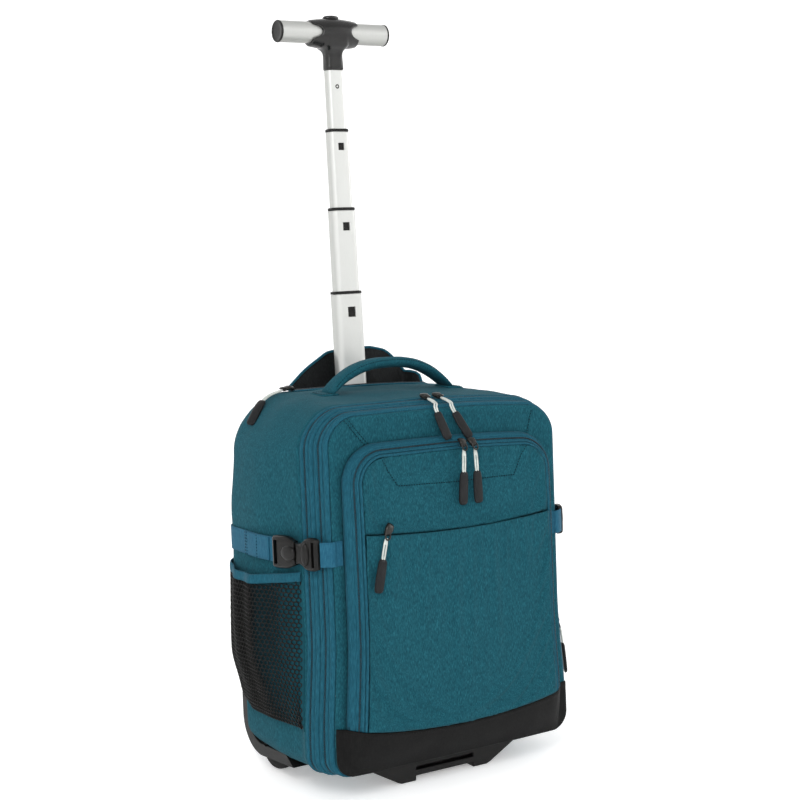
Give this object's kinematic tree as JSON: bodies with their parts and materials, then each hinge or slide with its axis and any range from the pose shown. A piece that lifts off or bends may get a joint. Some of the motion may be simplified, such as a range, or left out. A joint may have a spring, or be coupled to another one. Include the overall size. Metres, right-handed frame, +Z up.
{
  "type": "wheeled backpack",
  "caption": "Soft travel backpack on wheels and a front foot, with a telescopic pull handle, front pocket, side pockets, compression straps and shoulder straps.",
  "frame": {"origin": "middle of the footprint, on the floor", "axes": "+Z up, the front with its pocket faces -Y, the wheels roll about X"},
  "size_m": [0.3916, 0.323, 0.8901],
  "materials": {
    "cloth": "woven melange",
    "webbing": "woven tape",
    "coated_cloth": "coated",
    "net": "knitted net",
    "black_plastic": "fine grain",
    "gloss_plastic": "satin",
    "pull_rubber": "matt",
    "tyre": "matt",
    "aluminium": "satin anodised"
  },
  "bodies": {
    "bag": {"main_gusset": "cloth", "back_panel": "cloth", "front_panel": "cloth", "pocket_upper_panel": "cloth", "pocket_lower_panel": "cloth", "mesh_pocket_binding": "cloth", "side_pocket_right": "cloth", "carry_handle": "cloth", "pole_cover_flap": "cloth", "shoulder_strap_right": "cloth", "shoulder_strap_left": "cloth", "zip_tape_rear": "webbing", "piping_rear": "webbing", "zip_tape_front": "webbing", "piping_front": "webbing", "pocket_zip_band": "webbing", "pocket_piping": "webbing", "strap_rear_left": "webbing", "strap_front_left": "webbing", "strap_rear_right": "webbing", "strap_front_right": "webbing", "boot": "coated_cloth", "mesh_pocket": "net", "housing_right": "black_plastic", "housing_left": "black_plastic", "axle_right": "black_plastic", "axle_left": "black_plastic", "buckle_socket_left": "black_plastic", "buckle_plug_left": "black_plastic", "buckle_socket_right": "black_plastic", "buckle_plug_right": "black_plastic", "sleeve_collar": "black_plastic", "front_foot": "black_plastic", "pull_pocket_1": "pull_rubber", "pull_pocket_2": "pull_rubber", "pull_slit": "pull_rubber", "pull_main_1": "pull_rubber", "pull_main_2": "pull_rubber", "pull_cover": "pull_rubber", "pull_side": "pull_rubber", "pole_sleeve": "aluminium"},
    "stage_4": {"tube_4": "aluminium", "collar_4": "black_plastic"},
    "stage_3": {"tube_3": "aluminium", "collar_3": "black_plastic", "lock_3": "black_plastic"},
    "stage_2": {"tube_2": "aluminium", "collar_2": "black_plastic", "lock_2": "black_plastic"},
    "grip": {"tube_1": "aluminium", "lock_1": "black_plastic", "grip_hub": "gloss_plastic", "grip_bar": "aluminium", "grip_cap_right": "black_plastic", "grip_cap_left": "black_plastic"},
    "button": {"grip_button": "gloss_plastic"},
    "wheel_left": {"wheel_left": "tyre"},
    "wheel_right": {"wheel_right": "tyre"}
  },
  "joints": [
    {"name": "stage_4_slide", "type": "slide", "parent": "bag", "child": "stage_4", "axis": [0, 0.0988, 0.9951], "range_m": [-0.1455, 0]},
    {"name": "stage_3_slide", "type": "slide", "parent": "stage_4", "child": "stage_3", "axis": [0, 0.0988, 0.9951], "range_m": [-0.0984, 0]},
    {"name": "stage_2_slide", "type": "slide", "parent": "stage_3", "child": "stage_2", "axis": [0, 0.0988, 0.9951], "range_m": [-0.092, 0]},
    {"name": "grip_slide", "type": "slide", "parent": "stage_2", "child": "grip", "axis": [0, 0.0988, 0.9951], "range_m": [-0.0709, 0]},
    {"name": "button_press", "type": "slide", "parent": "grip", "child": "button", "axis": [0, 0.0988, 0.9951], "range_m": [-0.0024, 0], "stiffness_N_per_m": 2500},
    {"name": "wheel_left_spin", "type": "hinge", "parent": "bag", "child": "wheel_left", "pos_m": [-0.151, 0.0239, 0.032], "axis": [1, 0, 0], "continuous": true},
    {"name": "wheel_right_spin", "type": "hinge", "parent": "bag", "child": "wheel_right", "pos_m": [0.151, 0.0239, 0.032], "axis": [1, 0, 0], "continuous": true}
  ]
}
